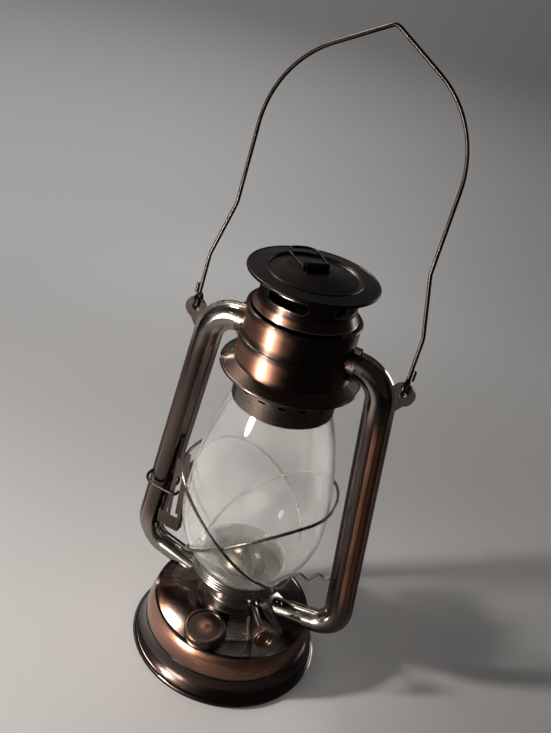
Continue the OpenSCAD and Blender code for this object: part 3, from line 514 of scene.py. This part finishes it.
class LANTERN_OT_wick(bpy.types.Operator):
    """Weave the flat cotton wick with a charred end"""
    bl_idname = "lantern.wick"
    bl_label = "Wick"

    def execute(self, context):
        finishes = context.scene.lantern_finishes
        sizes = context.scene.lantern_sizes
        low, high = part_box("wick")
        tall_edge, wide_edge = 0.02, 0.008
        threads_a_metre, tufts_a_metre = 1200, 900
        fray = 0.0006

        mesh = bmesh.new()
        mesh.from_mesh(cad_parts["wick"].data)
        bmesh.ops.remove_doubles(mesh, verts=mesh.verts, dist=1e-6)
        bmesh.ops.dissolve_limit(mesh, angle_limit=0.01, verts=mesh.verts, edges=mesh.edges)
        tall = [e for e in mesh.edges if abs((e.verts[0].co - e.verts[1].co).z) > tall_edge]
        bmesh.ops.subdivide_edges(mesh, edges=tall, cuts=sizes.wick_rows, use_grid_fill=True)
        wide = [e for e in mesh.edges if (e.verts[0].co - e.verts[1].co).xy.length > wide_edge]
        bmesh.ops.subdivide_edges(mesh, edges=wide, cuts=sizes.wick_ends, use_grid_fill=True)
        mesh.normal_update()
        for vert in mesh.verts:
            row = round((vert.co.z - low.z) / (high.z - low.z) * (sizes.wick_rows + 1))
            end = round((vert.co.xy - low.xy).length * threads_a_metre)
            proud = sizes.thread if (row + end) % 2 else 0
            vert.co -= vert.normal * (sizes.thread - proud)
            if vert.co.z > high.z - fray:
                vert.co.z -= fray * (0.5 + 0.5 * noise.noise(vert.co * tufts_a_metre))
        wick = piece("woven_wick", mesh, "wick_strip")
        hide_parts("wick")

        f = Finish(bpy.data.materials.new("charred cotton"))
        scorch = high.z - 0.008, high.z - 0.003
        uneven = (f.cloud(300) - 0.5) * 0.004
        burnt = f.rises(f.z + uneven, *scorch)
        stripe = f.node("ShaderNodeTexWave", {"wave_type": "BANDS", "bands_direction": "Z"},
                        {"Vector": f.place, "Scale": 260, "Distortion": 1.5}, output="Fac")
        clean = f.mix(stripe * 0.4, finishes.cotton, toned(finishes.cotton, 0.6))
        wick.data.materials.append(f.close(Base_Color=f.mix(burnt, clean, finishes.char),
                                           Roughness=0.85 + 0.1 * stripe,
                                           Normal=f.bump(stripe, 0.5, 0.0002)))
        return {"FINISHED"}


class LANTERN_OT_globe(bpy.types.Operator):
    """Finish the clear glass globe"""
    bl_idname = "lantern.globe"
    bl_label = "Globe"

    def execute(self, context):
        finishes = context.scene.lantern_finishes
        f = Finish(bpy.data.materials.new("clear glass"))
        smear = f.cloud(26, detail=5)
        waves = f.cloud(40, detail=1, place=f.vector(f.x, f.y, f.z * 0.25))
        greasy = f.rises(smear, 0.5, 0.95) * 0.06
        glass = f.node("ShaderNodeBsdfPrincipled", {}, {
            "Base Color": paint(finishes.glass), "Roughness": greasy, "IOR": 1.47, "Transmission Weight": 1.0,
            "Normal": f.bump(waves, 0.05, 0.0006)})
        film = f.node("ShaderNodeBsdfPrincipled", {}, {"Base Color": paint(finishes.dust), "Roughness": 0.85})
        dusted = 0.06 + 0.08 * f.rises(smear, 0.35, 0.8)
        glass = f.node("ShaderNodeMixShader", {}, {0: dusted, 1: glass, 2: film})
        clear = f.node("ShaderNodeBsdfTransparent", {}, {"Color": paint(finishes.passed)})
        [shadow] = f.rays("Is Shadow Ray")
        both = f.node("ShaderNodeMixShader", {}, {0: shadow, 1: glass, 2: clear})
        f.node("ShaderNodeOutputMaterial", {}, {"Surface": both}, output=None)
        dress(f.owner, "globe")
        return {"FINISHED"}


class LANTERN_OT_carriage(bpy.types.Operator):
    """Finish the globe plate, guard hoops, lift bracket and the wires"""
    bl_idname = "lantern.carriage"
    bl_label = "Carriage"

    def execute(self, context):
        finishes = context.scene.lantern_finishes
        dress(antique("ridged plate", finishes.umber, finishes.grey, everywhere(0.55), rough=0.23), "globe_plate")
        dress(antique("lift bracket sheet", finishes.black, finishes.bronze, everywhere(0.25), rough=0.5,
                      brushing=long_brush, wear=0.25, coat=0.1),
              "lift_bracket")
        dress(antique("drawn wire", finishes.umber, finishes.wire, everywhere(0.65), rough=0.28,
                      brushing=long_brush, wear=0.04, coat=0.3),
              "guard_hoop_outer", "guard_hoop_inner", "guide_wire")
        dress(antique("dark wire", finishes.black, finishes.wire, everywhere(0.06), rough=0.36,
                      brushing=long_brush, wear=0.02, coat=0.1),
              "latch_wire", "bail", "lift_ring")
        return {"FINISHED"}


class LANTERN_OT_tubes(bpy.types.Operator):
    """Finish the air tubes, their sleeves and the bail ears"""
    bl_idname = "lantern.tubes"
    bl_label = "Tubes"

    def execute(self, context):
        finishes = context.scene.lantern_finishes
        tube_x, tube_z, tube_radius = 0.04992, 0.19609, 0.008
        lean = math.tan(math.radians(5.7))
        straight = 0.066, 0.186
        stripe = 0.12, 0.82

        def upright(f):
            """1 on the straight run, 0 on the bends."""
            return f.band(f.z, *straight, soft=0.012)

        def copper(f):
            """Stripe along the outer half of the run, strong on the right tube and weak on the left."""
            middle = tube_x + (tube_z - f.z) * lean
            outward = (f.x.size() - middle) / tube_radius
            right = f.rises(f.x, -0.01, 0.01)
            return f.band(outward, *stripe, soft=0.1) * (0.2 + 0.7 * right)

        def streak(f):
            return copper(f) * upright(f) + (1 - upright(f)) * 0.62

        def polish(f):
            return 0.15 + 0.3 * copper(f) * upright(f)

        def metal(f):
            return f.mix(upright(f), finishes.grey, finishes.copper)

        def grains(f):
            return f.rises(f.cloud(700), 0.5, 0.62) * 0.7

        dress(antique("seamed tube", finishes.umber, metal, streak, rough=polish, brushing=long_brush, wear=0.2),
              "tube_left", "tube_right")
        dress(antique("tube sleeve", finishes.umber, finishes.bronze, everywhere(0.35), rough=0.3),
              "tube_collar_left", "tube_collar_right")
        dress(antique("ear tab", finishes.black, finishes.bronze, everywhere(0.12), rough=0.5,
                      wear=0.15, coat=0.1, pressed=grains),
              "ear_left", "ear_right")
        return {"FINISHED"}


class LANTERN_OT_hood(bpy.types.Operator):
    """Finish the two-tier hood and its brim"""
    bl_idname = "lantern.hood"
    bl_label = "Hood"

    def execute(self, context):
        finishes = context.scene.lantern_finishes
        crimp_count = context.scene.lantern_sizes.crimps
        low, high = (corner.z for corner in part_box("hood_shell"))
        tall = high - low
        lower_tier = low + tall * 0.08, low + tall * 0.43
        upper_tier = low + tall * 0.57, low + tall * 0.93
        top_seam = high - 0.0016, high - 0.0006

        # Copper bands on both tiers, kept to two opposite quarters, one the lit front-left: painted light, with
        # painted shade between.
        def lit_side_tiers(f):
            lower = f.band(f.z, *lower_tier, soft=tall * 0.06)
            upper = f.band(f.z, *upper_tier, soft=tall * 0.06)
            return (lower * 0.6 + upper * 0.52) * painted_lit_sides(f)

        def crimps(f):
            beat = f.rises((f.y.angle(f.x) * crimp_count).wave(), 0.86, 0.95)
            return beat * f.rises(f.z, *top_seam)

        dress(antique("rubbed copper hood", finishes.umber, finishes.copper, lit_side_tiers, rough=0.43,
                      coat=0.3, stretch=0.93, pressed=crimps),
              "hood_shell")
        dress(antique("blackened brim", finishes.umber, finishes.bronze, everywhere(0.2), rough=0.28), "hood_brim")
        return {"FINISHED"}


class LANTERN_OT_chimney(bpy.types.Operator):
    """Finish the globe collar, draught tube, vent neck and smoke cap"""
    bl_idname = "lantern.chimney"
    bl_label = "Chimney"

    def execute(self, context):
        finishes = context.scene.lantern_finishes
        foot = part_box("chimney_neck")[0].z
        flare = foot + 0.0026, foot + 0.004

        # Copper flare kept to two opposite quarters, one the lit front-left: painted light, with painted shade on
        # the right.
        def neck(f):
            return (1 - f.rises(f.z, *flare)) * painted_lit_sides(f) * 0.8

        dress(antique("vent neck", toned(finishes.umber, 1.3), finishes.copper, neck, rough=0.36,
                      wear=1.0, stretch=0.9, lip=1.8),
              "chimney_neck")
        dress(antique("slotted collar", finishes.umber, finishes.bronze, everywhere(0.9), rough=0.26,
                      wear=1.0, stretch=0.3, lip=1.4),
              "chimney_collar")
        dress(antique("sooted tube", finishes.black, finishes.umber, everywhere(0.3), rough=0.55, coat=0),
              "chimney_tube")
        dress(antique("smoke cap", toned(finishes.black, 0.7), finishes.umber, everywhere(0.2), rough=0.34,
                      wear=0.12, coat=0.05),
              "cap_disc", "cap_strap")
        return {"FINISHED"}


class LANTERN_OT_studio(bpy.types.Operator):
    """Lay the pale floor, hang the lamps and set the camera"""
    bl_idname = "lantern.studio"
    bl_label = "Studio"

    def execute(self, context):
        scene = context.scene
        studio = scene.lantern_studio
        self.lay_floor(studio)
        lamp(studio, "key", matt=False)
        lamp(studio, "spill", shine=False)
        lamp(studio, "top", matt=False)
        lamp(studio, "rim", matt=False)
        lamp(studio, "low", matt=False, spared="globe")
        scene.world = self.light_room(studio)
        scene.camera = self.set_camera(studio)
        scene.view_settings.view_transform = "Standard"
        return {"FINISHED"}

    def across(self, f, studio):
        """How far a place lies to the right of the lantern, as the camera sees it."""
        return f.x * math.cos(studio.heading) + f.y * math.sin(studio.heading)

    def painted_right_shade(self, f, studio, soft):
        """Painted shade: share of the glow that is lost, which grows towards the right, evened out within soft of
        the axis.
        """
        reach = (f.x * f.x + f.y * f.y + soft * soft) ** 0.5
        return f.rises(self.across(f, studio) / reach, -0.3, 0.6) * studio.painted_right_shade

    def lay_floor(self, studio):
        """Wide round floor, paler behind the lantern and painted dim on its right; in the metal's reflections it
        is painted dark but for a painted pool of light at its front-left.
        """
        mesh = bmesh.new()
        bmesh.ops.create_circle(mesh, cap_ends=True, segments=96, radius=studio.reach)
        bmesh.ops.recalc_face_normals(mesh, faces=mesh.faces)
        floor = solid("floor", mesh)
        f = Finish(bpy.data.materials.new("pale cloth"))
        weave = f.cloud(2600, detail=2)
        folds = f.cloud(3.2)
        seen, shine, through = f.rays("Is Camera Ray", "Is Glossy Ray", "Is Transmission Ray")
        painted_right_shade = self.painted_right_shade(f, studio, soft=0.3)
        # For glossy rays the floor is painted near black except in a pale pool at its front-left: painted shade
        # and a painted pool of light in reflections.
        lit_pool_x, lit_pool_y = -0.18, -0.09
        west, south = f.x - lit_pool_x, f.y - lit_pool_y
        past_lit_pool = f.rises((west * west + south * south) ** 0.5, 0.10, 0.36)
        on_right = f.rises(self.across(f, studio), -0.10, 0.06)
        far = past_lit_pool.most(on_right)
        off_foot = f.rises(f.radius(), 0.12, 0.6)
        distant = f.rises(f.radius(), 0.5, 3.0)
        ground = off_foot * (1 - distant * 0.82)
        pale = seen.most(shine * (1 - far)).most(through) * (1 - painted_right_shade) * (studio.glow + studio.ground * ground)
        cloth = f.mix(folds * 0.35 + weave * 0.15, studio.floor, toned(studio.floor, 0.88))
        # Painted shade: the cloth's own colour is darkened towards the right.
        cloth = f.mix(painted_right_shade * 0.9, cloth, toned(studio.floor, 0.4))
        floor.data.materials.append(f.close(
            Base_Color=f.mix(shine * far * 0.9, cloth, studio.mirrored),
            Roughness=0.9, Normal=f.bump(weave, 0.15, 0.0002),
            Emission_Color=f.mix(pale, (0, 0, 0), studio.tint), Emission_Strength=1.0))

    def light_room(self, studio):
        """Dim room, brighter on the key lamp's side and a little behind the lantern."""
        f = Finish(bpy.data.worlds.new("room"), "Generated")
        seen, matt = f.rays("Is Camera Ray", "Is Diffuse Ray")
        side = f.x * studio.key_place[0] + f.y * studio.key_place[1]
        window = f.rises(side, 0.34, 0.56) * f.rises(f.z, -0.5, 0.1)
        corner = f.rises(f.y * 0.6 - f.x * 0.8, 0.35, 0.95) * 0.5
        dimmest, matt_loss = 0.11, 0.65
        light = (dimmest + window + corner) * studio.room * (1 - matt_loss * matt)
        # The backdrop past the floor's edge is painted darker towards the right: painted shade.
        haze = (1 - self.painted_right_shade(f, studio, soft=0)) * (studio.glow + studio.ground * studio.haze)
        back = f.node("ShaderNodeBackground", {},
                      {"Color": paint(studio.tint), "Strength": light * (1 - seen) + haze * seen})
        f.node("ShaderNodeOutputWorld", {}, {"Surface": back}, output=None)
        return f.owner

    def set_camera(self, studio):
        """Camera that looks down on the lantern with a sideways tilt."""
        camera = bpy.data.objects.new("camera", bpy.data.cameras.new("camera"))
        camera.data.lens = studio.lens
        camera.data.sensor_width = 36
        camera.data.clip_start = 0.02
        facing = Matrix.Rotation(studio.heading, 4, "Z")
        tilt = Matrix.Rotation(math.pi / 2 - studio.pitch, 4, "X") @ Matrix.Rotation(studio.roll, 4, "Z")
        camera.matrix_world = Matrix.Translation(studio.eye) @ facing @ tilt
        bpy.context.scene.collection.objects.link(camera)
        return camera


# Panel and registration

class LANTERN_PT_panel(bpy.types.Panel):
    """Steps and settings of the lantern"""
    bl_idname = "LANTERN_PT_panel"
    bl_label = "Lantern"
    bl_space_type = "VIEW_3D"
    bl_region_type = "UI"
    bl_category = "Lantern"

    def draw(self, context):
        for step in STEPS:
            self.layout.operator(step.bl_idname)
        for name, kind in GROUPS.items():
            column = self.layout.column(align=True)
            for key in kind.__annotations__:
                column.prop(getattr(context.scene, name), key)


GROUPS = {"lantern_finishes": LanternFinishes, "lantern_sizes": LanternSizes, "lantern_studio": LanternStudio}
STEPS = [LANTERN_OT_font, LANTERN_OT_filler, LANTERN_OT_burner, LANTERN_OT_wick, LANTERN_OT_globe,
         LANTERN_OT_carriage, LANTERN_OT_tubes, LANTERN_OT_hood, LANTERN_OT_chimney, LANTERN_OT_studio]


def register():
    for name, group in GROUPS.items():
        bpy.utils.register_class(group)
        setattr(bpy.types.Scene, name, PointerProperty(type=group))
    for kind in (*STEPS, LANTERN_PT_panel):
        bpy.utils.register_class(kind)


def unregister():
    for kind in (LANTERN_PT_panel, *reversed(STEPS)):
        bpy.utils.unregister_class(kind)
    for name, group in GROUPS.items():
        delattr(bpy.types.Scene, name)
        bpy.utils.unregister_class(group)


def main():
    register()
    for step in STEPS:
        family, _, name = step.bl_idname.partition(".")
        getattr(getattr(bpy.ops, family), name)()


if __name__ == "__main__":
    main()
